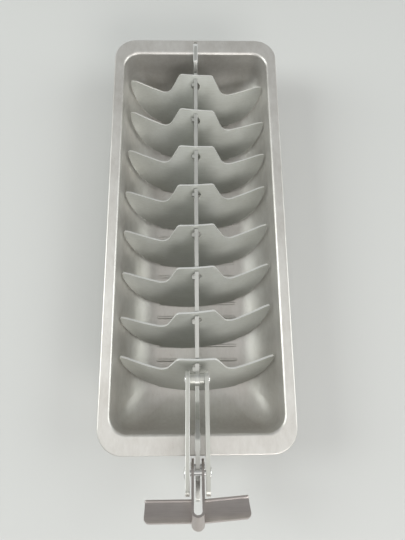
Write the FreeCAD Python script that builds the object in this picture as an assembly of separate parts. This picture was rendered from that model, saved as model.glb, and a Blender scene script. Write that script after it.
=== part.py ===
import FreeCAD, Part
import math
import os

os.makedirs("parts", exist_ok=True)

V = FreeCAD.Vector

# Lever ice cube tray, in millimetres.
# Origin: centre of the pan's underside. +Z up, -Y towards the lever, +X to the right of the lever.

# Clearances
RUNNING_GAP = 0.06
SIDE_GAP = 0.3
FACE_GAP = 0.1

# Pan, drawn from one sheet, with steep walls that run in a wide bend into the floor
PAN_LENGTH = 263.5
PAN_WIDTH = 108.0
PAN_HEIGHT = 38.0
PAN_SHEET = 0.9
PAN_CORNER = 14.0
SIDE_FLANGE = 6.5
END_FLANGE = 10.9
WELL_CORNER = 10.0
FLOOR_CORNER = 12.0
WALL_DRAFT = 2.6
FLOOR_BEND = 24.0
BEND_STEPS = 6
RIM_BEND = 1.5
LIP_DROP = 2.2
LIP_BEND = 0.8

# Slots in both end rims for the centre wall
SLOT_WIDTH = 3.0
SLOT_DEPTH = 9.0
SLOT_EDGE = 1.45
SLOT_REACH = 18.0
SLOT_ROUND = 1.35

# Rows of cubes along the pan
ROWS = 9
CELL_PITCH = 26.66

# Pressed ribs across the pan floor, in pairs
RIB_PAIRS = ROWS - 2
RIB_PITCH = 27.47
RIB_SPACING = 9.1
RIB_MID_Y = 6.7
RIB_HEIGHT = 0.35
RIB_RADIUS = 1.8
RIB_INSET = 22.3

# Dividers: bowed sheets, tips swept towards the far end. Insets are from the well's mouth.
DIVIDER_COUNT = ROWS - 1
DIVIDER_SHEET = 1.2
DIVIDER_LEAN = 25.4
DIVIDER_BOW_RADIUS = 128.6
DIVIDER_SKEWS = (-3.0, -5.0, -1.7, 2.3, 2.6, 3.3, 4.6, 0.0)
SKEW_AXIS_BACK = 9.0
FOOT_AXIS_Z = 3.35
FOOT_MID_Y = -4.35
FOOT_DEPTH = 1.6
TOP_BELOW_RIM = 1.35
TOP_HALF_WIDTH = 10.9
VALLEY_X = 18.7
VALLEY_DROP = 14.7
VALLEY_ROUND = 6.5
TIP_INSET = 2.2
TIP_DROP = 9.8
TIP_DEPTH = 1.2
TIP_ROUND = 0.8
CREST_INSET = 6.0
CREST_DROP = 9.6
SHOULDER_ROUND = 2.5
SIDE_FOOT_INSET = 11.5
SIDE_FOOT_HEIGHT = 7.8
FLAT_FOOT_INSET = 23.0
FLAT_FOOT_RISE = 1.15
FLAT_FOOT_STEP = 0.9
WINDOW_BOTTOM = 3.2
WINDOW_EYE_RADIUS = 3.0
WINDOW_EYE_DROP = 7.5

# Centre wall with its front tongue. Heights and lengths over the rim are from the pan's rim and ends.
WALL_THICK = 2.3
WALL_GAP = 1.3
WALL_TOP_DROP = 16.2
SEAT_RADIUS = 2.15
TONGUE_RISE = 5.2
TONGUE_REACH = 22.25
TONGUE_DEPTH = 6.5
TONGUE_NOSE_RISE = 0.2
TONGUE_NOSE_ROUND = 2.4
CREST_TURN = 56.0
RAMP_START = 25.25
RAMP_MID = 18.25
RAMP_MID_DROP = 1.5
RAMP_END = 8.95
RAMP_ROUND = 4.0
REAR_TAB_INSET = 4.75
REAR_TAB_RISE = 0.6
REAR_TAB_DROP = 4.5
REAR_TAB_ROUND = 1.5
REAR_RISE_GAP = 4.5
REAR_RISE_RUN = 4.7
REAR_RISE_TOP_RUN = 6.4
REAR_RISE_OVER_BAR = 0.4
HOOK_GAP = 0.8
HOOK_FLOOR = 1.4

# Slide bar
BAR_GAP = 0.3
BAR_TOP_DROP = 2.5
BAR_FRONT_INSET = 37.45
BAR_END_LAND = 2.5
BAR_REAR_SLANT = 4.6
BAR_CORNER = 1.0
LUG_RADIUS = 3.6
LUG_FOOT = 1.0
NOTCH_DEPTH = 5.1
NOTCH_HALF = 1.55
TAB_REACH = 1.5
TAB_ROOT = 0.2
TAB_LENGTH = 2.2
TAB_HEIGHT = 1.8
TAB_OFFSET = 1.9

# Pivots: distance outside (+) or inside (-) the pan's near end, and height over its rim
LEVER_PIVOT_OUT = 5.55
LEVER_PIVOT_RISE = -1.4
LINK_FRONT_OUT = 6.85
LINK_FRONT_RISE = 7.4
LINK_REAR_OUT = -39.35
LINK_REAR_RISE = -2.0

# Rivets and spacers
PIVOT_PIN_RADIUS = 1.5
PIVOT_HEAD_RADIUS = 2.4
PIVOT_HEAD_THICK = 0.4
LINK_PIN_RADIUS = 1.4
FRONT_HEAD_RADIUS = 3.0
FRONT_HEAD_RISE = 0.95
REAR_HEAD_RADIUS = 2.1
REAR_HEAD_RISE = 0.9
SPACER_RADIUS = 3.2
OPEN_PIVOT_GAP = 0.95

# Links
LINK_THICK = 2.2
LINK_INNER_X = 4.17
LINK_HALF = 4.6
LINK_NOSE_HALF = 3.4
LINK_OVERHANG = 7.2
WAIST_HALF = 1.7
WAIST_START = 21.0
WAIST_END = 27.0
WAIST_TAPER = 10.0
WAIST_ROUND = 3.0

# Lever, folded from one sheet
LEVER_TILT = 45.0
LEVER_SHEET = 1.25
LEVER_OUTER_HALF = 3.3
LEVER_LENGTH = 30.1
LEVER_HALF_HEIGHT = 5.75
HEEL_RADIUS = 4.2
HEEL_BACK = 2.6
HEEL_LIFT = 0.9
HEEL_RUN = 9.0
SHOULDER_BACK = 3.4
SHOULDER_HEIGHT = 2.4
EAR_RADIUS = 3.4
EAR_FRONT = 1.6
EAR_FRONT_RISE = 3.0
EAR_BACK = 2.2
EAR_BACK_RISE = 2.6
EAR_SLOPE_END = 15.0
WING_TIP_X = 26.4
WING_REAR = 15.9
WING_FRONT = 26.7
WING_SAG = 1.0
WING_SHEET = 1.2
WING_CORNER = 3.0
WING_BEAD = 0.85
WING_BEAD_SET = 0.2
WING_BEAD_END = 0.5
RIGHT_WING_SWEEP = 5.0

# Places that follow from the sizes above
LEAN = math.radians(DIVIDER_LEAN)
HALF_LENGTH = PAN_LENGTH / 2
RIM_HALF_X = PAN_WIDTH / 2 - SIDE_FLANGE
RIM_HALF_Y = HALF_LENGTH - END_FLANGE
DRAFT = math.radians(WALL_DRAFT)
BEND_Z = PAN_SHEET + FLOOR_BEND
BEND_INSET = math.tan(DRAFT) * (PAN_HEIGHT - BEND_Z) + FLOOR_BEND / math.cos(DRAFT)
SLOT_BOTTOM = PAN_HEIGHT - SLOT_DEPTH
WALL_TOP = PAN_HEIGHT - WALL_TOP_DROP
TONGUE_TOP = PAN_HEIGHT + TONGUE_RISE
BAR_BOTTOM = WALL_TOP + BAR_GAP
BAR_TOP = PAN_HEIGHT - BAR_TOP_DROP
BAR_FRONT_Y = BAR_FRONT_INSET - HALF_LENGTH
NOTCH_BOTTOM = BAR_TOP - NOTCH_DEPTH
DIVIDER_TOP = FOOT_DEPTH + (PAN_HEIGHT - TOP_BELOW_RIM - FOOT_AXIS_Z) / math.cos(LEAN)
LEVER_PIVOT = (-HALF_LENGTH - LEVER_PIVOT_OUT, PAN_HEIGHT + LEVER_PIVOT_RISE)
LINK_FRONT = (-HALF_LENGTH - LINK_FRONT_OUT, PAN_HEIGHT + LINK_FRONT_RISE)
LINK_REAR = (-HALF_LENGTH - LINK_REAR_OUT, PAN_HEIGHT + LINK_REAR_RISE)


def save(shape, name):
    shape.exportStep("parts/" + name + ".step")


def face_of(points):
    """Flat face from a closed run of points."""
    return Part.Face(Part.makePolygon(points + [points[0]]))


def plate_yz(points, x0, x1):
    """Plate with the given (y, z) outline, from x0 to x1."""
    face = face_of([V(x0, y, z) for y, z in points])
    return face.extrude(V(x1 - x0, 0, 0))


def pin_x(radius, x0, x1, y, z):
    return Part.makeCylinder(radius, x1 - x0, V(x0, y, z), V(1, 0, 0))


def round_edges(shape, radius, wanted):
    """Round every edge for which wanted(edge) is true."""
    edges = [e for e in shape.Edges if wanted(e)]
    return shape.makeFillet(radius, edges)


def round_corners_x(shape, radius, corners):
    """Round the edges along X that pass through the given (y, z) corners."""
    def wanted(edge):
        if len(edge.Vertexes) != 2:
            return False
        a = edge.Vertexes[0].Point
        b = edge.Vertexes[1].Point
        if abs(a.y - b.y) > 0.001 or abs(a.z - b.z) > 0.001:
            return False
        return any(math.hypot(a.y - y, a.z - z) < 0.01 for y, z in corners)
    return round_edges(shape, radius, wanted)


def rounded_rectangle(half_x, half_y, radius, z):
    """Closed wire of four lines and four arcs, in one fixed order."""
    k = radius * (1 - math.sqrt(0.5))
    edges = []
    for sx, sy in ((1, 1), (-1, 1), (-1, -1), (1, -1)):
        along = V(sx * half_x, sy * (half_y - radius), z)
        across = V(sx * (half_x - radius), sy * half_y, z)
        middle = V(sx * (half_x - k), sy * (half_y - k), z)
        first, last = (along, across) if sx * sy > 0 else (across, along)
        if edges:
            edges.append(Part.makeLine(end, first))
        else:
            start = first
        edges.append(Part.Arc(first, middle, last).toShape())
        end = last
    edges.append(Part.makeLine(end, start))
    return Part.Wire(edges)


def well_block(grow):
    """Solid filling the pan's well, grown by the sheet's thickness, with a wide bend along the floor."""
    bend = FLOOR_BEND + grow
    wires = []
    for step in range(BEND_STEPS + 1):
        turn = (math.pi / 2 - DRAFT) * step / BEND_STEPS
        out = bend * math.sin(turn) - BEND_INSET
        corner = FLOOR_CORNER + (WELL_CORNER - FLOOR_CORNER) * step / BEND_STEPS + grow * math.sin(turn)
        z = BEND_Z - bend * math.cos(turn)
        wires.append(rounded_rectangle(RIM_HALF_X + out, RIM_HALF_Y + out, corner, z))
    side = grow / math.cos(DRAFT)
    mouth = rounded_rectangle(RIM_HALF_X + side, RIM_HALF_Y + side, WELL_CORNER + grow, PAN_HEIGHT)
    walls = Part.makeLoft([wires[-1], mouth], True, True)
    return Part.makeLoft(wires, True, False).fuse(walls)


def rim_block(z0, z1, inset):
    wire = rounded_rectangle(PAN_WIDTH / 2 - inset, PAN_LENGTH / 2 - inset, PAN_CORNER - inset, z0)
    return Part.Face(wire).extrude(V(0, 0, z1 - z0))


def end_slot(side):
    """Slot through one end rim and the upper end wall."""
    outer = PAN_LENGTH / 2 - SLOT_EDGE
    box = Part.makeBox(SLOT_WIDTH, SLOT_REACH, PAN_HEIGHT - SLOT_BOTTOM + 1)
    box.translate(V(-SLOT_WIDTH / 2, outer - SLOT_REACH, SLOT_BOTTOM))
    box = round_edges(box, SLOT_ROUND, lambda e: e.BoundBox.ZLength > 1 and e.BoundBox.YMin > outer - 1)
    if side < 0:
        box.rotate(V(0, 0, 0), V(0, 0, 1), 180)
    return box


def floor_rib(y, top):
    """Round bar with ball ends that stands RIB_HEIGHT above the given level."""
    x = RIM_HALF_X - RIB_INSET
    z = top + RIB_HEIGHT - RIB_RADIUS
    ends = [Part.makeSphere(RIB_RADIUS, V(end, y, z)) for end in (-x, x)]
    return pin_x(RIB_RADIUS, -x, x, y, z).fuse(ends)


def floor_ribs(top):
    ribs = []
    for pair in range(RIB_PAIRS):
        y = RIB_MID_Y + (pair - (RIB_PAIRS - 1) / 2) * RIB_PITCH
        ribs += [floor_rib(y - RIB_SPACING / 2, top), floor_rib(y + RIB_SPACING / 2, top)]
    return ribs


def pan():
    """Drawn pan: sloping walls, flat flange, turned-down lip, slotted ends, pressed floor ribs."""
    outer = well_block(PAN_SHEET)
    flange = rim_block(PAN_HEIGHT - LIP_DROP, PAN_HEIGHT, 0)
    flange = round_edges(flange, LIP_BEND, lambda e: e.BoundBox.ZMin > PAN_HEIGHT - 0.001)
    under = rim_block(PAN_HEIGHT - LIP_DROP - 1, PAN_HEIGHT - PAN_SHEET, PAN_SHEET)
    body = outer.fuse(flange.cut(under))
    slab = Part.makeBox(2 * RIM_HALF_X, 2 * RIM_HALF_Y, PAN_SHEET, V(-RIM_HALF_X, -RIM_HALF_Y, 0))
    raised = [rib.common(slab.translated(V(0, 0, PAN_SHEET / 2))) for rib in floor_ribs(PAN_SHEET)]
    body = body.cut(well_block(0))
    body = round_edges(body, RIM_BEND, lambda e: on_opening(e))
    body = body.fuse(raised).cut(floor_ribs(0))
    body = body.cut([end_slot(1), end_slot(-1)])
    return body.removeSplitter()


def on_opening(edge):
    """True for the edges of the well's mouth."""
    box = edge.BoundBox
    if box.ZMin < PAN_HEIGHT - 0.001:
        return False
    return max(-box.XMin, box.XMax) < RIM_HALF_X + 0.01 and max(-box.YMin, box.YMax) < RIM_HALF_Y + 0.01


def foot_y(index):
    """Y of the foot axis of divider 1 (far end) to 8 (lever end)."""
    return FOOT_MID_Y + ((DIVIDER_COUNT + 1) / 2 - index) * CELL_PITCH


def plane_y(index, z):
    """Y of the middle of a leaning divider at height z."""
    return foot_y(index) + (z - FOOT_AXIS_Z) * math.tan(LEAN)


def divider_outline():
    """Closed wire of a divider, seen square to its sheet, from the left shoulder round to the right one."""
    tip_x = RIM_HALF_X - TIP_INSET
    foot_x = RIM_HALF_X - FLAT_FOOT_INSET
    crest = (RIM_HALF_X - CREST_INSET, DIVIDER_TOP - CREST_DROP)
    upper = [(TOP_HALF_WIDTH, DIVIDER_TOP), (VALLEY_X, DIVIDER_TOP - VALLEY_DROP), crest,
             (tip_x, DIVIDER_TOP - TIP_DROP), (tip_x, DIVIDER_TOP - TIP_DROP - TIP_DEPTH)]
    step = (foot_x, FLAT_FOOT_RISE + FLAT_FOOT_STEP)
    heel = (foot_x, FLAT_FOOT_RISE)
    side = (RIM_HALF_X - SIDE_FOOT_INSET, SIDE_FOOT_HEIGHT)
    right, left = [[V(sign * x, 0, h) for x, h in upper + [side, step, heel]] for sign in (1, -1)]
    edges = [Part.makeLine(left[0], right[0])]
    edges += [Part.makeLine(a, b) for a, b in zip(right[:4], right[1:5])]
    edges.append(Part.Arc(right[4], right[5], right[6]).toShape())
    edges.append(Part.makeLine(right[6], right[7]))
    edges.append(Part.Arc(right[7], V(0, 0, 0), left[7]).toShape())
    edges.append(Part.makeLine(left[7], left[6]))
    edges.append(Part.Arc(left[6], left[5], left[4]).toShape())
    edges += [Part.makeLine(left[n], left[n - 1]) for n in range(4, 0, -1)]
    return Part.Wire(edges)


def divider_window():
    """Slot with a round eye on top, through which the wall and the bar run."""
    slot_half = WALL_THICK / 2 + SIDE_GAP
    eye_height = DIVIDER_TOP - WINDOW_EYE_DROP
    reach = SKEW_AXIS_BACK
    corner = V(-slot_half, -reach, WINDOW_BOTTOM)
    slot = Part.makeBox(2 * slot_half, 2 * reach, eye_height - WINDOW_BOTTOM, corner)
    eye = Part.makeCylinder(WINDOW_EYE_RADIUS, 2 * reach, V(0, -reach, eye_height), V(0, 1, 0))
    return slot.fuse(eye)


def divider(index):
    """Cross divider: raised middle, valleys, pointed side tips and a window for wall and bar."""
    half_sheet = DIVIDER_SHEET / 2
    depth = RIM_HALF_X ** 2 / DIVIDER_BOW_RADIUS
    plate = Part.Face(divider_outline()).extrude(V(0, depth + DIVIDER_SHEET, 0))
    plate.translate(V(0, -DIVIDER_SHEET, 0))
    plate = round_upright(plate, VALLEY_ROUND, VALLEY_X, DIVIDER_TOP - VALLEY_DROP)
    plate = round_upright(plate, SHOULDER_ROUND, TOP_HALF_WIDTH, DIVIDER_TOP)
    plate = round_upright(plate, TIP_ROUND, RIM_HALF_X - TIP_INSET, DIVIDER_TOP - TIP_DROP)
    centre = V(0, DIVIDER_BOW_RADIUS, 0)
    bow = Part.makeCylinder(DIVIDER_BOW_RADIUS + half_sheet, DIVIDER_TOP, centre)
    bow = bow.cut(Part.makeCylinder(DIVIDER_BOW_RADIUS - half_sheet, DIVIDER_TOP, centre))
    plate = plate.common(bow)
    window = divider_window()
    for shape in (plate, window):
        shape.translate(V(0, 0, -FOOT_DEPTH))
        shape.rotate(V(0, 0, 0), V(-1, 0, 0), DIVIDER_LEAN)
    plate.rotate(V(0, SKEW_AXIS_BACK, 0), V(0, 0, 1), DIVIDER_SKEWS[index - 1])
    plate = plate.cut(window)
    plate.translate(V(0, foot_y(index), FOOT_AXIS_Z))
    return plate


def round_upright(plate, radius, x, h):
    """Round the two mirrored edges across a divider plate at (x, h) and (-x, h)."""
    def wanted(edge):
        box = edge.BoundBox
        at_corner = abs(abs(box.Center.x) - x) < 0.01 and abs(box.Center.z - h) < 0.01
        return at_corner and box.YLength > DIVIDER_SHEET
    return round_edges(plate, radius, wanted)


def centre_wall():
    """Fixed centre wall: seats for the divider feet, tab at the far end, tongue over the near rim."""
    x0 = -WALL_THICK / 2
    py, pz = LEVER_PIVOT
    bend = FLOOR_BEND - WALL_GAP
    bend_y = RIM_HALF_Y - BEND_INSET
    low_z = BEND_Z - bend
    mid = bend * math.sqrt(0.5)
    end_y = bend_y + bend
    hook_z = SLOT_BOTTOM + HOOK_FLOOR
    hook_top = PAN_HEIGHT + HOOK_GAP
    hook_y = SLOT_EDGE + HOOK_GAP - HALF_LENGTH
    front_y = -HALF_LENGTH - TONGUE_REACH
    rear_y = HALF_LENGTH - REAR_TAB_INSET
    rise_y = bar_rear_y() - BAR_REAR_SLANT + REAR_RISE_GAP
    crest_radius = math.hypot(LINK_FRONT[0] - py, LINK_FRONT[1] - pz) - LINK_PIN_RADIUS - 2 * SIDE_GAP
    crest = [(py - crest_radius * math.sin(a), pz + crest_radius * math.cos(a))
             for a in (0, math.radians(CREST_TURN / 2), math.radians(CREST_TURN))]
    front = [(-end_y, BEND_Z), (-end_y, hook_z), (hook_y, hook_z), (hook_y, hook_top),
             (-HALF_LENGTH - HOOK_GAP, hook_top), (-HALF_LENGTH - HOOK_GAP, PAN_HEIGHT - TONGUE_DEPTH),
             (front_y, PAN_HEIGHT - TONGUE_DEPTH), (front_y, PAN_HEIGHT + TONGUE_NOSE_RISE), crest[2]]
    ramp = [(RAMP_END - HALF_LENGTH, TONGUE_TOP), (RAMP_MID - HALF_LENGTH, PAN_HEIGHT - RAMP_MID_DROP),
            (RAMP_START - HALF_LENGTH, WALL_TOP)]
    tab = [(rear_y, PAN_HEIGHT + REAR_TAB_RISE), (rear_y, PAN_HEIGHT - REAR_TAB_DROP)]
    rise = [(rise_y, WALL_TOP), (rise_y + REAR_RISE_RUN, BAR_TOP + REAR_RISE_OVER_BAR),
            (rise_y + REAR_RISE_TOP_RUN, PAN_HEIGHT + REAR_TAB_RISE)]
    back = [crest[0]] + ramp + rise + tab + [(end_y, hook_z), (end_y, BEND_Z)]
    near_bend = [(-bend_y, low_z), (-bend_y - mid, BEND_Z - mid), (-end_y, BEND_Z)]
    far_bend = [(end_y, BEND_Z), (bend_y + mid, BEND_Z - mid), (bend_y, low_z)]
    edges = [arc_x(x0, near_bend)] + lines_x(x0, front) + [arc_x(x0, crest[::-1])]
    edges += lines_x(x0, back) + [arc_x(x0, far_bend)] + lines_x(x0, [(bend_y, low_z), (-bend_y, low_z)])
    wall = Part.Face(Part.Wire(edges)).extrude(V(WALL_THICK, 0, 0))
    wall = round_corners_x(wall, TONGUE_NOSE_ROUND, front[6:8])
    wall = round_corners_x(wall, REAR_TAB_ROUND, tab)
    wall = round_corners_x(wall, RAMP_ROUND, ramp)
    numbers = range(1, DIVIDER_COUNT + 1)
    seats = [pin_x(SEAT_RADIUS, x0 - 1, -x0 + 1, foot_y(i), FOOT_AXIS_Z) for i in numbers]
    return wall.cut(seats + [pin_x(PIVOT_PIN_RADIUS, x0 - 1, -x0 + 1, py, pz)])


def arc_x(x, points):
    """Arc through three (y, z) points at the given x."""
    return Part.Arc(*[V(x, y, z) for y, z in points]).toShape()


def lines_x(x, points):
    """Straight edges from each (y, z) point to the next at the given x."""
    return [Part.makeLine(V(x, *a), V(x, *b)) for a, b in zip(points, points[1:])]


def bar_notch(index):
    """Slanted notch in the bar's top edge that takes a divider's bridge."""
    low = plane_y(index, NOTCH_BOTTOM)
    high = plane_y(index, BAR_TOP + 1)
    points = [(low - NOTCH_HALF, NOTCH_BOTTOM), (low + NOTCH_HALF, NOTCH_BOTTOM),
              (high + NOTCH_HALF, BAR_TOP + 1), (high - NOTCH_HALF, BAR_TOP + 1)]
    return plate_yz(points, -WALL_THICK, WALL_THICK)


def bar_tab(index):
    """Small tab turned to the left in front of a notch."""
    z = (NOTCH_BOTTOM + BAR_TOP - TAB_HEIGHT) / 2
    y = plane_y(index, z) - TAB_OFFSET - TAB_LENGTH
    return Part.makeBox(TAB_REACH + TAB_ROOT, TAB_LENGTH, TAB_HEIGHT, V(-WALL_THICK / 2 - TAB_REACH, y, z))


def bar_rear_y():
    """Y of the bar's far end, past the notch for divider 1."""
    return plane_y(1, BAR_TOP) + NOTCH_HALF + BAR_END_LAND


def slide_bar():
    """Bar that slides on the wall's top edge, notched for the dividers, with a lug at the front."""
    x0 = -WALL_THICK / 2
    rear_y = bar_rear_y()
    ay, az = LINK_REAR
    points = [(BAR_FRONT_Y, BAR_BOTTOM), (rear_y - BAR_REAR_SLANT, BAR_BOTTOM), (rear_y, BAR_TOP),
              (ay + LUG_RADIUS + LUG_FOOT, BAR_TOP), (ay, az + LUG_RADIUS), (ay - LUG_RADIUS, az)]
    bar = plate_yz(points, x0, -x0)
    numbers = range(1, DIVIDER_COUNT + 1)
    bar = bar.fuse([pin_x(LUG_RADIUS, x0, -x0, ay, az)] + [bar_tab(i) for i in numbers])
    hole = pin_x(LINK_PIN_RADIUS, x0 - 1, -x0 + 1, ay, az)
    bar = bar.cut([bar_notch(i) for i in numbers] + [hole])
    bar = bar.removeSplitter()
    return round_corners_x(bar, BAR_CORNER, [(rear_y, BAR_TOP), (BAR_FRONT_Y, BAR_BOTTOM)])


def link(side):
    """Side link with a waist over the near rim and a long rounded front end."""
    ay, az = LINK_REAR
    by, bz = LINK_FRONT
    reach = math.hypot(by - ay, bz - az)
    nose = reach + LINK_OVERHANG
    waist = [(WAIST_END + WAIST_TAPER, -LINK_NOSE_HALF), (WAIST_END, -WAIST_HALF),
             (WAIST_START, -WAIST_HALF), (WAIST_START - WAIST_TAPER, -LINK_HALF)]
    points = [(0, LINK_HALF), (nose, LINK_NOSE_HALF), (nose, -LINK_NOSE_HALF)] + waist + [(0, -LINK_HALF)]
    x0 = LINK_INNER_X
    x1 = LINK_INNER_X + LINK_THICK
    plate = plate_yz([(-s, n) for s, n in points], x0, x1)
    plate = round_corners_x(plate, WAIST_ROUND, [(-s, n) for s, n in waist])
    plate = plate.fuse([pin_x(LINK_HALF, x0, x1, 0, 0), pin_x(LINK_NOSE_HALF, x0, x1, -nose, 0)])
    rear_hole = pin_x(LINK_PIN_RADIUS + RUNNING_GAP, x0 - 1, x1 + 1, 0, 0)
    front_hole = pin_x(LINK_PIN_RADIUS + OPEN_PIVOT_GAP, x0 - 1, x1 + 1, -reach, 0)
    plate = plate.cut([rear_hole, front_hole]).removeSplitter()
    plate.rotate(V(0, 0, 0), V(-1, 0, 0), math.degrees(math.atan2(bz - az, ay - by)))
    plate.translate(V(0, ay, az))
    if side < 0:
        plate = plate.mirror(V(0, 0, 0), V(1, 0, 0))
    return plate


def domed_head(radius, rise, x, y, z):
    """Domed rivet head whose flat side is at +x and faces the middle."""
    ball = (radius ** 2 + rise ** 2) / (2 * rise)
    sphere = Part.makeSphere(ball, V(x + rise - ball, y, z))
    slab = Part.makeBox(rise + 1, 2 * ball, 2 * ball, V(x, y - ball, z - ball))
    return sphere.common(slab)


def domed_rivet(pin_radius, head_radius, rise, y, z):
    x = LINK_INNER_X + LINK_THICK + FACE_GAP
    head = domed_head(head_radius, rise, x, y, z)
    other = head.mirror(V(0, 0, 0), V(1, 0, 0))
    return pin_x(pin_radius, -x - 0.1, x + 0.1, y, z).fuse([head, other]).removeSplitter()


def pivot_rivet():
    """Flat-headed rivet through the tongue on which the lever swings."""
    y, z = LEVER_PIVOT
    x = LEVER_OUTER_HALF + FACE_GAP
    heads = [pin_x(PIVOT_HEAD_RADIUS, a, a + PIVOT_HEAD_THICK, y, z) for a in (x, -x - PIVOT_HEAD_THICK)]
    return pin_x(PIVOT_PIN_RADIUS, -x, x, y, z).fuse(heads).removeSplitter()


def spacer(side):
    y, z = LINK_REAR
    x0 = WALL_THICK / 2
    x1 = LINK_INNER_X - FACE_GAP
    ring = pin_x(SPACER_RADIUS, x0, x1, y, z).cut(pin_x(LINK_PIN_RADIUS, x0 - 1, x1 + 1, y, z))
    return ring.mirror(V(0, 0, 0), V(1, 0, 0)) if side < 0 else ring


def wing(sweep):
    """Curved finger plate on the +X side with a beaded rear edge, bent out from the arm's lower edge."""
    low = -LEVER_HALF_HEIGHT
    mid = (WING_REAR + WING_FRONT) / 2
    x0 = LEVER_OUTER_HALF - LEVER_SHEET
    upper = Part.Arc(V(x0, -WING_REAR, low + WING_SHEET + WING_SAG), V(x0, -mid, low + WING_SHEET),
                     V(x0, -WING_FRONT, low + WING_SHEET + WING_SAG / 2)).toShape()
    lower = Part.Arc(V(x0, -WING_FRONT, low + WING_SAG / 2), V(x0, -mid, low),
                     V(x0, -WING_REAR, low + WING_SAG)).toShape()
    front = Part.makeLine(upper.lastVertex().Point, lower.firstVertex().Point)
    rear = Part.makeLine(lower.lastVertex().Point, upper.firstVertex().Point)
    plate = Part.Face(Part.Wire([upper, front, lower, rear])).extrude(V(WING_TIP_X - x0, 0, 0))
    tip = [e for e in plate.Edges if e.BoundBox.XMin > WING_TIP_X - 0.01 and e.BoundBox.YLength < 0.3]
    plate = plate.makeFillet(WING_CORNER, [e for e in tip if e.BoundBox.YMax < -mid])
    end = V(WING_TIP_X - WING_BEAD_END, -WING_REAR - WING_BEAD_SET, low + WING_SHEET / 2 + WING_SAG)
    bead = pin_x(WING_BEAD, LEVER_OUTER_HALF, end.x, end.y, end.z)
    part = plate.fuse([bead, Part.makeSphere(WING_BEAD, end)])
    part.rotate(V(LEVER_OUTER_HALF, -WING_FRONT, 0), V(0, 0, 1), sweep)
    return part


def lever_handle():
    """Lever: two arms joined by a U nose, heel and ear at the rear, a wing on each side."""
    half = LEVER_HALF_HEIGHT
    inner = LEVER_OUTER_HALF - LEVER_SHEET
    nose_y = -(LEVER_LENGTH - LEVER_OUTER_HALF)
    by, bz = LINK_FRONT
    py, pz = LEVER_PIVOT
    tilt = math.radians(LEVER_TILT)
    along = (py - by) * math.cos(tilt) + (bz - pz) * math.sin(tilt)
    up = (by - py) * math.sin(tilt) + (bz - pz) * math.cos(tilt)
    points = [(HEEL_BACK, HEEL_LIFT - HEEL_RADIUS), (0, -HEEL_RADIUS), (-HEEL_RUN, -half), (nose_y, -half),
              (nose_y, half), (-EAR_SLOPE_END, half), (-along - EAR_FRONT, up + EAR_FRONT_RISE),
              (-along + EAR_BACK, up + EAR_BACK_RISE), (SHOULDER_BACK, SHOULDER_HEIGHT)]
    arm = plate_yz(points, inner, LEVER_OUTER_HALF)
    heel = pin_x(HEEL_RADIUS, inner, LEVER_OUTER_HALF, 0, 0)
    ear = pin_x(EAR_RADIUS, inner, LEVER_OUTER_HALF, -along, up)
    arm = arm.fuse([heel, ear])
    nose = Part.makeCylinder(LEVER_OUTER_HALF, 2 * half, V(0, nose_y, -half))
    nose = nose.cut(Part.makeCylinder(inner, 2 * half, V(0, nose_y, -half)))
    behind = Part.makeBox(4 * LEVER_OUTER_HALF, LEVER_LENGTH, 2 * half)
    nose = nose.cut(behind.translated(V(-2 * LEVER_OUTER_HALF, nose_y, -half)))
    right = wing(RIGHT_WING_SWEEP)
    left = wing(0).mirror(V(0, 0, 0), V(1, 0, 0))
    body = arm.fuse([arm.mirror(V(0, 0, 0), V(1, 0, 0)), nose, right, left]).removeSplitter()
    passage = Part.makeBox(2 * inner, 2 * LEVER_LENGTH, 4 * half, V(-inner, nose_y, -2 * half))
    reach = 2 * LEVER_OUTER_HALF
    body = body.cut([passage, pin_x(PIVOT_PIN_RADIUS + RUNNING_GAP, -reach, reach, 0, 0),
                     pin_x(LINK_PIN_RADIUS, -reach, reach, -along, up)])
    body.rotate(V(0, 0, 0), V(-1, 0, 0), LEVER_TILT)
    body.translate(V(0, py, pz))
    return body


save(pan(), "pan")
save(centre_wall(), "centre_wall")
save(slide_bar(), "slide_bar")
for number in range(1, DIVIDER_COUNT + 1):
    save(divider(number), "divider_%d" % number)
save(lever_handle(), "lever_handle")
save(link(-1), "link_left")
save(link(1), "link_right")
save(pivot_rivet(), "lever_pivot_rivet")
save(domed_rivet(LINK_PIN_RADIUS, FRONT_HEAD_RADIUS, FRONT_HEAD_RISE, *LINK_FRONT), "link_front_rivet")
save(domed_rivet(LINK_PIN_RADIUS, REAR_HEAD_RADIUS, REAR_HEAD_RISE, *LINK_REAR), "link_rear_rivet")
save(spacer(-1), "spacer_left")
save(spacer(1), "spacer_right")
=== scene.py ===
import math

import bmesh
import bpy
from mathutils import Matrix, Vector


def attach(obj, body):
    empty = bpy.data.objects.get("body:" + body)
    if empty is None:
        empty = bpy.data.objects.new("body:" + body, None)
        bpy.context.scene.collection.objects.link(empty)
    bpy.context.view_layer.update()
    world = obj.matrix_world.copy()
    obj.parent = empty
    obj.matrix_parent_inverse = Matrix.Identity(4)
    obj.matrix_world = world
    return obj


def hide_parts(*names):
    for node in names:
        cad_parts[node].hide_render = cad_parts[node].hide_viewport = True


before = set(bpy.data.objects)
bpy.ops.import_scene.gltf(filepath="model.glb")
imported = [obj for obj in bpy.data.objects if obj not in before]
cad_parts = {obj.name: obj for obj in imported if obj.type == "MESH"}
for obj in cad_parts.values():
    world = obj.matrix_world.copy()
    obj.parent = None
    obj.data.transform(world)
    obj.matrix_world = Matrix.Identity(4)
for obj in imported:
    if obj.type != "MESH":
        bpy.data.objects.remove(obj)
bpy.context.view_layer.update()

# Table and light
# A plain pale table top in an even grey room, under a weak lamp overhead and three large soft ones lower
# at the front and sides. The camera stands where the photograph's stood: above the lever, looking down
# along the tray.

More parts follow.
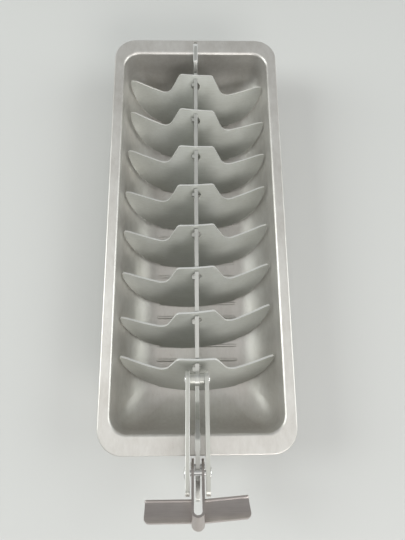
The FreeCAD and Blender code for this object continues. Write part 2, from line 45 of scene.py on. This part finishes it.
MM = 0.001
CAMERA_PLACE = Vector((-1.51, -93.96, 282.33)) * MM
CAMERA_PITCH = 75.36
CAMERA_YAW = 4.42
CAMERA_ROLL = 4.05
FOCAL_PIXELS = 430.0
LONG_SIDE_PIXELS = 540
SENSOR = 36.0
TABLE_REACH = 1.6
TABLE_TONE = (0.56, 0.56, 0.55)
TABLE_ROUGHNESS = 0.85
ROOM_TONE = (0.36, 0.365, 0.365)


def camera_turn(pitch, yaw, roll):
    """Turns a camera that looks along +Y down by pitch, right by yaw and about its line of sight by roll."""
    down, aside, tilt = (math.radians(angle) for angle in (pitch, yaw, roll))
    forward = Vector((math.sin(aside) * math.cos(down), math.cos(aside) * math.cos(down), -math.sin(down)))
    level = Vector((math.cos(aside), -math.sin(aside), 0))
    upright = level.cross(forward)
    right = math.cos(tilt) * level + math.sin(tilt) * upright
    up = -math.sin(tilt) * level + math.cos(tilt) * upright
    return Matrix((right, up, -forward)).transposed()


camera = bpy.data.cameras.new("camera")
camera.sensor_width = SENSOR
camera.lens = FOCAL_PIXELS * SENSOR / LONG_SIDE_PIXELS
camera.clip_start = 0.01
viewer = bpy.data.objects.new("camera", camera)
bpy.context.collection.objects.link(viewer)
turn = camera_turn(CAMERA_PITCH, CAMERA_YAW, CAMERA_ROLL)
viewer.matrix_world = Matrix.Translation(CAMERA_PLACE) @ turn.to_4x4()
scene = bpy.context.scene
scene.camera = viewer
scene.view_settings.view_transform = "Standard"

world = bpy.data.worlds.new("studio")
world.use_nodes = True
world.node_tree.nodes["Background"].inputs["Color"].default_value = (*ROOM_TONE, 1)
world.node_tree.nodes["Background"].inputs["Strength"].default_value = 1.0
scene.world = world


def area_light(name, place, target, size, watts, tone=(1, 1, 1)):
    data = bpy.data.lights.new(name, "AREA")
    data.shape = "RECTANGLE"
    data.size, data.size_y = size
    data.energy = watts
    data.color = tone
    lamp = bpy.data.objects.new(name, data)
    bpy.context.collection.objects.link(lamp)
    lamp.location = place
    lamp.rotation_euler = (Vector(target) - Vector(place)).to_track_quat("-Z", "Y").to_euler()


area_light("overhead", (-0.06, -0.08, 0.85), (0, -0.02, 0.02),
           size=(0.80, 0.60), watts=1.0, tone=(1.0, 0.97, 0.94))
area_light("front", (0.32, -0.90, 0.60), (0, 0, 0.02),
           size=(0.7, 0.4), watts=5.6, tone=(1.0, 0.985, 0.96))
area_light("right", (1.15, 0.07, 0.64), (0, 0, 0.02),
           size=(0.7, 1.15), watts=9.0, tone=(0.95, 1.0, 0.98))
area_light("left", (-1.15, 0.14, 0.72), (0, 0, 0.02),
           size=(0.6, 1.0), watts=12.6, tone=(0.95, 1.0, 0.975))

table_mesh = bpy.data.meshes.new("table")
corners = [(x * TABLE_REACH, y * TABLE_REACH, 0) for x, y in ((-1, -1), (1, -1), (1, 1), (-1, 1))]
table_mesh.from_pydata(corners, [], [(0, 1, 2, 3)])
table = bpy.data.objects.new("table", table_mesh)
bpy.context.collection.objects.link(table)
table_top = bpy.data.materials.new("table_top")
table_top.use_nodes = True
table_shader = table_top.node_tree.nodes["Principled BSDF"]
table_shader.inputs["Base Color"].default_value = (*TABLE_TONE, 1)
table_shader.inputs["Roughness"].default_value = TABLE_ROUGHNESS
table_mesh.materials.append(table_top)

# Pan
# The outer tray that holds the water: one aluminium sheet, deep drawn with wide bends, a flat rim
# turned down at its edge, ribs pressed across the floor. Satin from etching, rubbed brighter by use.

PAN_TONES = ((0.58, 0.555, 0.52), (0.74, 0.725, 0.70))
PAN_ROUGHNESS = (0.40, 0.50)
CLOUD_SCALE = 38
PIT_SCALE = 2600
SPOT_SCALE = 420
SPOT_BAND = (0.70, 0.76)
NOISE_BAND = (0.3, 0.7)
CLOUD_SHARE = 0.6
RELIEF = 0.1 * MM


def aluminium(name, tones, roughness, grain, grain_depth, metallic, spots=0.0):
    """Worn satin aluminium: cloudy tone, streaks drawn out along the grain, fine pits and water spots."""
    material = bpy.data.materials.new(name)
    material.use_nodes = True
    tree = material.node_tree
    shader = tree.nodes["Principled BSDF"]
    shader.inputs["Metallic"].default_value = metallic
    place = tree.nodes.new("ShaderNodeTexCoord")

    def noise(scale, detail, rough, stretch=None):
        node = tree.nodes.new("ShaderNodeTexNoise")
        node.inputs["Scale"].default_value = scale
        node.inputs["Detail"].default_value = detail
        node.inputs["Roughness"].default_value = rough
        source = place.outputs["Object"]
        if stretch:
            mapping = tree.nodes.new("ShaderNodeMapping")
            mapping.inputs["Scale"].default_value = stretch
            tree.links.new(source, mapping.inputs["Vector"])
            source = mapping.outputs["Vector"]
        tree.links.new(source, node.inputs["Vector"])
        return node.outputs["Fac"]

    def ranged(value, low, high, to_low, to_high):
        node = tree.nodes.new("ShaderNodeMapRange")
        for key, number in zip(("From Min", "From Max", "To Min", "To Max"), (low, high, to_low, to_high)):
            node.inputs[key].default_value = number
        tree.links.new(value, node.inputs["Value"])
        return node.outputs["Result"]

    def combined(operation, first, second):
        node = tree.nodes.new("ShaderNodeMath")
        node.operation = operation
        tree.links.new(first, node.inputs[0])
        tree.links.new(second, node.inputs[1])
        return node.outputs["Value"]

    clouds = noise(CLOUD_SCALE, detail=5, rough=0.6)
    streaks = noise(1, detail=4, rough=0.65, stretch=grain)
    pits = noise(PIT_SCALE, detail=2, rough=0.5)
    tone = tree.nodes.new("ShaderNodeMix")
    tone.data_type = "RGBA"
    tone.inputs["A"].default_value = (*tones[0], 1)
    tone.inputs["B"].default_value = (*tones[1], 1)
    blend = combined("ADD", ranged(clouds, *NOISE_BAND, 0.0, CLOUD_SHARE),
                     ranged(streaks, *NOISE_BAND, 0.0, 1 - CLOUD_SHARE))
    if spots:
        dots = noise(SPOT_SCALE, detail=1, rough=0.5)
        blend = combined("ADD", blend, ranged(dots, *SPOT_BAND, 0.0, -spots))
    tree.links.new(blend, tone.inputs["Factor"])
    tree.links.new(tone.outputs["Result"], shader.inputs["Base Color"])
    smooth, rough = roughness
    span = rough - smooth
    gloss = combined("ADD", ranged(clouds, *NOISE_BAND, smooth, smooth + span * CLOUD_SHARE),
                     ranged(streaks, *NOISE_BAND, 0.0, span * (1 - CLOUD_SHARE)))
    tree.links.new(gloss, shader.inputs["Roughness"])
    relief = tree.nodes.new("ShaderNodeBump")
    relief.inputs["Strength"].default_value = grain_depth
    relief.inputs["Distance"].default_value = RELIEF
    tree.links.new(combined("ADD", streaks, pits), relief.inputs["Height"])
    tree.links.new(relief.outputs["Normal"], shader.inputs["Normal"])
    return material


def dress(node, material):
    for holder in node.material_slots:
        holder.material = material


PAN_GRAIN = (420, 160, 420)
pan_finish = aluminium("pan_satin", PAN_TONES, PAN_ROUGHNESS, PAN_GRAIN,
                       grain_depth=0.03, metallic=0.80, spots=0.25)
dress(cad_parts["pan"], pan_finish)

# Centre wall and slide bar
# Two long strips on edge, blanked from 2.3 mm aluminium. The wall stands in the pan's end slots, its
# edges a little rounded and given a painted highlight; the bar lies on it, notched for the dividers.

STRIP_TONES = ((0.48, 0.48, 0.455), (0.63, 0.63, 0.60))
STRIP_ROUGHNESS = (0.32, 0.45)
STRIP_GRAIN = (1500, 90, 1500)
# Painted highlight: a brighter, less metallic copy of the strip finish, laid on rounded and cut edges to
# stand in for their bright edge highlights.
EDGE_HIGHLIGHT_TONES = ((0.70, 0.70, 0.68), (0.84, 0.84, 0.82))
EDGE_HIGHLIGHT_ROUGHNESS = (0.30, 0.42)
STRIP_EDGE = 0.28 * MM
EDGE_STEPS = 2
SHARP = math.radians(35)
FLAT = math.radians(0.4)
WELD = 0.002 * MM
LARGE_FACE_WEIGHT = 80


def softened(name, body, material, edge):
    """The CAD piece with its blanked edges rounded and given a painted highlight, as one welded mesh that
    rides in its place.
    """
    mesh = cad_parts[name].data.copy()
    mesh.name = name + "_soft"
    if "custom_normal" in mesh.attributes:
        mesh.attributes.remove(mesh.attributes["custom_normal"])
    mesh.materials.clear()
    mesh.materials.append(material)
    # Second slot: the painted edge highlight, which the bevel below lays on the rounded edges.
    mesh.materials.append(painted_edge_highlight)
    form = bmesh.new()
    form.from_mesh(mesh)
    bmesh.ops.remove_doubles(form, verts=form.verts, dist=WELD)
    bmesh.ops.dissolve_limit(form, angle_limit=FLAT, verts=form.verts, edges=form.edges)
    for face in form.faces:
        face.smooth = True
        face.material_index = 0
    form.to_mesh(mesh)
    form.free()
    piece = bpy.data.objects.new(name + "_soft", mesh)
    bpy.context.collection.objects.link(piece)
    bevel = piece.modifiers.new("edge", "BEVEL")
    bevel.width = edge
    bevel.segments = EDGE_STEPS
    bevel.limit_method = "ANGLE"
    bevel.angle_limit = SHARP
    bevel.material = 1
    even_shading(piece)
    finish_piece(piece, name, body)


def even_shading(piece):
    """Lets the large faces set the shading, so that only the rounded edges shade round."""
    shading = piece.modifiers.new("shading", "WEIGHTED_NORMAL")
    shading.mode = "FACE_AREA"
    shading.weight = LARGE_FACE_WEIGHT


def finish_piece(piece, node, body):
    """Turns the piece's modifiers into a plain mesh and puts it in the place of its CAD node."""
    bpy.context.view_layer.update()
    evaluated = piece.evaluated_get(bpy.context.evaluated_depsgraph_get())
    solid = bpy.data.meshes.new_from_object(evaluated)
    piece.modifiers.clear()
    piece.data = solid
    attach(piece, body)
    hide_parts(node)


strip_finish = aluminium("strip_satin", STRIP_TONES, STRIP_ROUGHNESS, STRIP_GRAIN,
                         grain_depth=0.12, metallic=0.75)
# The painted edge highlight, used on the bevels of the softened pieces and on the dividers' rims.
painted_edge_highlight = aluminium("painted_edge_highlight", EDGE_HIGHLIGHT_TONES, EDGE_HIGHLIGHT_ROUGHNESS, STRIP_GRAIN,
                        grain_depth=0.05, metallic=0.45)
softened("centre_wall", "grid", strip_finish, STRIP_EDGE)
dress(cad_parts["slide_bar"], strip_finish)

# Cross dividers
# Eight bowed sheets, pressed from 1.2 mm aluminium and darkened by anodising, each hung loose on the
# wall and bar through a window, so that they lie a little askew. Their cut edges carry a painted highlight.

DIVIDER_TONES = ((0.50, 0.505, 0.46), (0.65, 0.66, 0.63))
DIVIDER_ROUGHNESS = (0.42, 0.55)
DIVIDER_GRAIN = (120, 1400, 1400)
SHEET = 1.2
LEAN = math.radians(25.4)
BOW_RADIUS = 128.6
SKEWS = (-3.0, -5.0, -1.7, 2.3, 2.6, 3.3, 4.6, 0.0)
SKEW_AXIS = 9.0
FOOT_Z = 3.35
FOOT_MID_Y = -4.35
FOOT_DEPTH = 1.6
DIVIDER_PITCH = 26.66
DIVIDER_TOP = 38.47
SHOULDER = (10.9, DIVIDER_TOP)
VALLEY = (18.7, DIVIDER_TOP - 14.7)
CREST = (41.5, DIVIDER_TOP - 9.6)
TIP = (45.3, DIVIDER_TOP - 9.8)
TIP_FOOT = (45.3, DIVIDER_TOP - 11.0)
SHOULDER_ROUND = 2.5
VALLEY_ROUND = 6.5
CREST_ROUND = 12.0
TIP_ROUND = 0.8
SIDE = (36.0, 7.8)
HEEL = (24.5, 1.15)
HEEL_STEP = 0.9
WINDOW_FOOT = 3.2
WINDOW_HALF = 1.45
EYE_HEIGHT = DIVIDER_TOP - 7.5
EYE_RADIUS = 3.0
CORNER_STEPS = 8
VALLEY_STEPS = 12
TIP_STEPS = 4
SIDE_STEPS = 36
FOOT_STEPS = 24
EYE_STEPS = 20
STRIP_STEP = 1.5
CUT_SNAP = 1e-7
DIVIDER_EDGE = 0.4 * MM
DIVIDER_SHARP = math.radians(50)


def arc_points(first, middle, last, count):
    """Points on the circle through three points of the sheet, from first to last."""
    (ax, ay), (bx, by), (cx, cy) = first, middle, last
    spread = 2 * (ax * (by - cy) + bx * (cy - ay) + cx * (ay - by))
    a, b, c = ax * ax + ay * ay, bx * bx + by * by, cx * cx + cy * cy
    hub_x = (a * (by - cy) + b * (cy - ay) + c * (ay - by)) / spread
    hub_y = (a * (cx - bx) + b * (ax - cx) + c * (bx - ax)) / spread
    radius = math.hypot(ax - hub_x, ay - hub_y)
    start, mid, end = (math.atan2(y - hub_y, x - hub_x) for x, y in (first, middle, last))
    turn = (end - start) % math.tau
    if (mid - start) % math.tau > turn:
        turn -= math.tau
    angles = [start + turn * n / count for n in range(count + 1)]
    return [(hub_x + radius * math.cos(angle), hub_y + radius * math.sin(angle)) for angle in angles]


def rounded_corner(before, corner, after, radius, count=CORNER_STEPS):
    """Points of the arc of that radius in the corner between two straight edges."""
    to_before = (Vector(before) - Vector(corner)).normalized()
    to_after = (Vector(after) - Vector(corner)).normalized()
    half = to_before.angle(to_after) / 2
    run = radius / math.tan(half)
    centre = Vector(corner) + (to_before + to_after).normalized() * (radius / math.sin(half))
    first = Vector(corner) + to_before * run
    last = Vector(corner) + to_after * run
    middle = centre + (Vector(corner) - centre).normalized() * radius
    return arc_points(tuple(first), tuple(middle), tuple(last), count)


def divider_outline():
    """Right half of a divider's outline from its middle top round to its middle foot."""
    points = [(0, DIVIDER_TOP)]
    points += rounded_corner((0, DIVIDER_TOP), SHOULDER, VALLEY, SHOULDER_ROUND)
    points += rounded_corner(SHOULDER, VALLEY, CREST, VALLEY_ROUND, VALLEY_STEPS)
    points += rounded_corner(VALLEY, CREST, TIP, CREST_ROUND, TIP_STEPS)
    points += rounded_corner(CREST, TIP, TIP_FOOT, TIP_ROUND, TIP_STEPS)
    step = (HEEL[0], HEEL[1] + HEEL_STEP)
    points += arc_points(TIP_FOOT, SIDE, step, SIDE_STEPS)
    foot = arc_points(HEEL, (0, 0), (-HEEL[0], HEEL[1]), FOOT_STEPS)
    return points + foot[:FOOT_STEPS // 2 + 1]


def window_outline(skew):
    """Slot with a round eye on top, kept square to the wall however the sheet is turned."""
    def middle(height):
        return ((height - FOOT_DEPTH) * math.sin(LEAN) - SKEW_AXIS) * math.tan(math.radians(skew))

    half_turn = math.asin(WINDOW_HALF / EYE_RADIUS)
    points = [(WINDOW_HALF, WINDOW_FOOT)]
    for n in range(EYE_STEPS + 1):
        turn = -math.pi / 2 + half_turn + (math.tau - 2 * half_turn) * n / EYE_STEPS
        points.append((EYE_RADIUS * math.cos(turn), EYE_HEIGHT + EYE_RADIUS * math.sin(turn)))
    points.append((-WINDOW_HALF, WINDOW_FOOT))
    return [(x + middle(height), height) for x, height in points]


def flat_divider(skew):
    """Flat sheet with its window, cut into upright strips so that it can be bowed."""
    right = divider_outline()
    outer = right + [(-x, h) for x, h in reversed(right[1:-1])]
    form = bmesh.new()
    for ring in (outer, window_outline(skew)):
        verts = [form.verts.new((x * MM, 0, h * MM)) for x, h in ring]
        for a, b in zip(verts, verts[1:] + verts[:1]):
            form.edges.new((a, b))
    bmesh.ops.triangle_fill(form, edges=form.edges, use_beauty=True, normal=(0, -1, 0))
    bmesh.ops.dissolve_limit(form, angle_limit=FLAT, verts=[], edges=form.edges)
    strips = round(TIP[0] / STRIP_STEP)
    for n in range(-strips + 1, strips):
        everything = form.verts[:] + form.edges[:] + form.faces[:]
        cut = (n * STRIP_STEP * MM, 0, 0)
        bmesh.ops.bisect_plane(form, geom=everything, dist=CUT_SNAP, plane_co=cut, plane_no=(1, 0, 0))
    bmesh.ops.triangulate(form, faces=[f for f in form.faces if len(f.verts) > 4])
    bmesh.ops.recalc_face_normals(form, faces=form.faces)
    mesh = bpy.data.meshes.new("divider_sheet")
    form.to_mesh(mesh)
    form.free()
    mesh.polygons.foreach_set("use_smooth", [True] * len(mesh.polygons))
    return mesh


def divider_form():
    """Node group that bows a flat sheet, leans it, turns it askew and stands it on its foot."""
    tree = bpy.data.node_groups.new("divider_form", "GeometryNodeTree")
    tree.interface.new_socket("Geometry", in_out="INPUT", socket_type="NodeSocketGeometry")
    for label in ("Bow Radius", "Lean", "Skew", "Skew Axis", "Foot Depth", "Foot Y", "Foot Z"):
        tree.interface.new_socket(label, in_out="INPUT", socket_type="NodeSocketFloat")
    tree.interface.new_socket("Finish", in_out="INPUT", socket_type="NodeSocketMaterial")
    tree.interface.new_socket("Geometry", in_out="OUTPUT", socket_type="NodeSocketGeometry")
    nodes, link = tree.nodes, tree.links.new
    given = nodes.new("NodeGroupInput")
    result = nodes.new("NodeGroupOutput")

    def maths(operation, first, second):
        node = nodes.new("ShaderNodeMath")
        node.operation = operation
        for socket, value in zip(node.inputs, (first, second)):
            if isinstance(value, (int, float)):
                socket.default_value = value
            else:
                link(value, socket)
        return node.outputs["Value"]

    def vector(**parts):
        node = nodes.new("ShaderNodeCombineXYZ")
        for axis, value in parts.items():
            link(value, node.inputs[axis])
        return node.outputs["Vector"]

    def moved(geometry, **settings):
        node = nodes.new("GeometryNodeTransform")
        link(geometry, node.inputs["Geometry"])
        for key, value in settings.items():
            link(value, node.inputs[key])
        return node.outputs["Geometry"]

    place = nodes.new("GeometryNodeInputPosition")
    split = nodes.new("ShaderNodeSeparateXYZ")
    link(place.outputs["Position"], split.inputs["Vector"])
    square = maths("MULTIPLY", split.outputs["X"], split.outputs["X"])
    bow = maths("DIVIDE", square, maths("MULTIPLY", given.outputs["Bow Radius"], 2))
    bend = nodes.new("GeometryNodeSetPosition")
    link(given.outputs["Geometry"], bend.inputs["Geometry"])
    link(vector(Y=bow), bend.inputs["Offset"])
    sink = vector(Z=maths("MULTIPLY", given.outputs["Foot Depth"], -1))
    sunk = moved(bend.outputs["Geometry"], Translation=sink)
    leant = moved(sunk, Rotation=vector(X=maths("MULTIPLY", given.outputs["Lean"], -1)))
    away = moved(leant, Translation=vector(Y=maths("MULTIPLY", given.outputs["Skew Axis"], -1)))
    turned = moved(away, Rotation=vector(Z=given.outputs["Skew"]))
    foot_y = maths("ADD", given.outputs["Foot Y"], given.outputs["Skew Axis"])
    foot = vector(Y=foot_y, Z=given.outputs["Foot Z"])
    placed = moved(turned, Translation=foot)
    real = nodes.new("GeometryNodeRealizeInstances")
    link(placed, real.inputs["Geometry"])
    finish = nodes.new("GeometryNodeSetMaterial")
    link(real.outputs["Geometry"], finish.inputs["Geometry"])
    link(given.outputs["Finish"], finish.inputs["Material"])
    link(finish.outputs["Geometry"], result.inputs["Geometry"])
    return tree


def set_inputs(modifier, values):
    """Sets a Geometry Nodes modifier's inputs, given by name, through their identifiers."""
    for item in modifier.node_group.interface.items_tree:
        if item.in_out == "INPUT" and item.name in values:
            modifier[item.identifier] = values[item.name]


divider_finish = aluminium("divider_grey", DIVIDER_TONES, DIVIDER_ROUGHNESS, DIVIDER_GRAIN,
                           grain_depth=0.14, metallic=0.5, spots=0.2)
divider_tree = divider_form()
for number, skew in enumerate(SKEWS, 1):
    sheet = bpy.data.objects.new("divider_%d_sheet" % number, flat_divider(skew))
    bpy.context.collection.objects.link(sheet)
    sheet.data.materials.append(divider_finish)
    # The sheet's cut rim and bevels take the painted edge highlight.
    sheet.data.materials.append(painted_edge_highlight)
    form = sheet.modifiers.new("form", "NODES")
    form.node_group = divider_tree
    foot_y = FOOT_MID_Y + ((len(SKEWS) + 1) / 2 - number) * DIVIDER_PITCH
    set_inputs(form, {"Bow Radius": BOW_RADIUS * MM, "Lean": LEAN, "Skew": math.radians(skew),
                      "Skew Axis": SKEW_AXIS * MM, "Foot Depth": FOOT_DEPTH * MM, "Foot Y": foot_y * MM,
                      "Foot Z": FOOT_Z * MM, "Finish": divider_finish})
    thick = sheet.modifiers.new("sheet", "SOLIDIFY")
    thick.thickness = SHEET * MM
    thick.offset = 0
    thick.use_even_offset = True
    thick.material_offset_rim = 1
    edge = sheet.modifiers.new("edge", "BEVEL")
    edge.width = DIVIDER_EDGE
    edge.segments = EDGE_STEPS
    edge.limit_method = "ANGLE"
    edge.angle_limit = DIVIDER_SHARP
    edge.material = 1
    even_shading(sheet)
    finish_piece(sheet, "divider_%d" % number, "cross_%d" % number)

# Lever
# The part one pulls: one aluminium sheet folded into two arms round a U nose, with an ear for the links
# and a curved finger plate turned out on each side. It swings on a flat rivet through the wall's tongue.

LEVER_TONES = ((0.44, 0.395, 0.375), (0.62, 0.57, 0.545))
LEVER_ROUGHNESS = (0.27, 0.36)
LEVER_GRAIN = (90, 1500, 1500)
LEVER_EDGE = 0.25 * MM
lever_finish = aluminium("lever_satin", LEVER_TONES, LEVER_ROUGHNESS, LEVER_GRAIN,
                         grain_depth=0.02, metallic=0.95)
softened("lever_handle", "lever", lever_finish, LEVER_EDGE)

# Links and spacers
# Two flat bars that carry the lever's pull to the slide bar, waisted where they pass over the rim, kept
# clear of the bar by a turned spacer on each side.

LINK_TONES = ((0.48, 0.48, 0.445), (0.62, 0.62, 0.58))
LINK_ROUGHNESS = (0.32, 0.44)
LINK_GRAIN = (1500, 110, 1500)
LINK_EDGE = 0.35 * MM
link_finish = aluminium("link_satin", LINK_TONES, LINK_ROUGHNESS, LINK_GRAIN,
                        grain_depth=0.12, metallic=0.7)
for side in ("left", "right"):
    softened("link_" + side, "links", link_finish, LINK_EDGE)
    softened("spacer_" + side, "slide", link_finish, STRIP_EDGE)

# Rivets
# Solid aluminium rivets. The two through the links are set with domed heads, the lever's own pivot has
# thin flat heads that clear the links. Setting them leaves the heads brighter than the sheet.

RIVET_TONES = ((0.80, 0.80, 0.79), (0.92, 0.92, 0.91))
RIVET_ROUGHNESS = (0.20, 0.32)
RIVET_GRAIN = (900, 900, 900)
HEAD_INNER_X = 6.47
HEAD_SIDES = 40
HEAD_RINGS = 24
DOME_CUT = -0.01
PIN_RADIUS = 1.4
SET_RIVETS = (
    # node, body, head radius, head rise, y, z
    ("link_front_rivet", "lever", 3.0, 0.95, -138.6, 45.4),
    ("link_rear_rivet", "slide", 2.1, 0.9, -92.4, 36.0),
)


def rivet_form():
    """Node group for a rivet along X: a pin with a domed head at each end."""
    tree = bpy.data.node_groups.new("rivet_form", "GeometryNodeTree")
    for label in ("Pin Radius", "Head Radius", "Head Rise", "Half Length", "Y", "Z"):
        tree.interface.new_socket(label, in_out="INPUT", socket_type="NodeSocketFloat")
    tree.interface.new_socket("Finish", in_out="INPUT", socket_type="NodeSocketMaterial")
    tree.interface.new_socket("Geometry", in_out="OUTPUT", socket_type="NodeSocketGeometry")
    nodes, link = tree.nodes, tree.links.new
    given = nodes.new("NodeGroupInput")
    result = nodes.new("NodeGroupOutput")

    def node_of(kind, **sockets):
        node = nodes.new(kind)
        for key, value in sockets.items():
            socket = node.inputs[key.replace("_", " ")]
            if isinstance(value, bpy.types.NodeSocket):
                link(value, socket)
            else:
                socket.default_value = value
        return node

    ball = node_of("GeometryNodeMeshUVSphere", Segments=HEAD_SIDES, Rings=HEAD_RINGS, Radius=1.0)
    where = nodes.new("ShaderNodeSeparateXYZ")
    link(nodes.new("GeometryNodeInputPosition").outputs["Position"], where.inputs["Vector"])
    below = node_of("FunctionNodeCompare", A=where.outputs["Z"], B=DOME_CUT)
    below.operation = "LESS_THAN"
    dome = nodes.new("GeometryNodeDeleteGeometry")
    dome.domain = "POINT"
    link(ball.outputs["Mesh"], dome.inputs["Geometry"])
    link(below.outputs["Result"], dome.inputs["Selection"])
    base = node_of("GeometryNodeMeshCircle", Vertices=HEAD_SIDES, Radius=1.0)
    base.fill_type = "NGON"
    closed = nodes.new("GeometryNodeJoinGeometry")
    flipped = node_of("GeometryNodeFlipFaces", Mesh=base.outputs["Mesh"])
    link(dome.outputs["Geometry"], closed.inputs["Geometry"])
    link(flipped.outputs["Mesh"], closed.inputs["Geometry"])
    size = node_of("ShaderNodeCombineXYZ", X=given.outputs["Head Radius"], Y=given.outputs["Head Radius"],
                   Z=given.outputs["Head Rise"])
    head = node_of("GeometryNodeTransform", Geometry=closed.outputs["Geometry"], Scale=size.outputs["Vector"])
    length = nodes.new("ShaderNodeMath")
    length.operation = "MULTIPLY"
    link(given.outputs["Half Length"], length.inputs[0])
    length.inputs[1].default_value = 2
    pin = node_of("GeometryNodeMeshCylinder", Vertices=HEAD_SIDES, Radius=given.outputs["Pin Radius"],
                  Depth=length.outputs["Value"])
    up = node_of("ShaderNodeCombineXYZ", Z=given.outputs["Half Length"])
    upper = node_of("GeometryNodeTransform", Geometry=head.outputs["Geometry"],
                    Translation=up.outputs["Vector"])
    lower = node_of("GeometryNodeTransform", Geometry=upper.outputs["Geometry"], Rotation=(math.pi, 0, 0))
    whole = nodes.new("GeometryNodeJoinGeometry")
    for part in (upper.outputs["Geometry"], lower.outputs["Geometry"], pin.outputs["Mesh"]):
        link(part, whole.inputs["Geometry"])
    spot = node_of("ShaderNodeCombineXYZ", Y=given.outputs["Y"], Z=given.outputs["Z"])
    laid = node_of("GeometryNodeTransform", Geometry=whole.outputs["Geometry"],
                   Rotation=(0, math.pi / 2, 0), Translation=spot.outputs["Vector"])
    real = node_of("GeometryNodeRealizeInstances", Geometry=laid.outputs["Geometry"])
    finish = node_of("GeometryNodeSetMaterial", Geometry=real.outputs["Geometry"],
                     Material=given.outputs["Finish"])
    link(finish.outputs["Geometry"], result.inputs["Geometry"])
    return tree


rivet_finish = aluminium("rivet_bright", RIVET_TONES, RIVET_ROUGHNESS, RIVET_GRAIN,
                         grain_depth=0.06, metallic=0.9)
rivet_tree = rivet_form()
for node, body, head_radius, head_rise, y, z in SET_RIVETS:
    rivet = bpy.data.objects.new(node + "_set", bpy.data.meshes.new(node + "_set"))
    bpy.context.collection.objects.link(rivet)
    form = rivet.modifiers.new("form", "NODES")
    form.node_group = rivet_tree
    set_inputs(form, {"Pin Radius": PIN_RADIUS * MM, "Head Radius": head_radius * MM,
                      "Head Rise": head_rise * MM, "Half Length": HEAD_INNER_X * MM,
                      "Y": y * MM, "Z": z * MM, "Finish": rivet_finish})
    finish_piece(rivet, node, body)
    rivet.data.materials.clear()
    rivet.data.materials.append(rivet_finish)
    rivet.data.polygons.foreach_set("material_index", [0] * len(rivet.data.polygons))
    rivet.data.polygons.foreach_set("use_smooth", [True] * len(rivet.data.polygons))
    rivet.data.set_sharp_from_angle(angle=SHARP)
dress(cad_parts["lever_pivot_rivet"], rivet_finish)
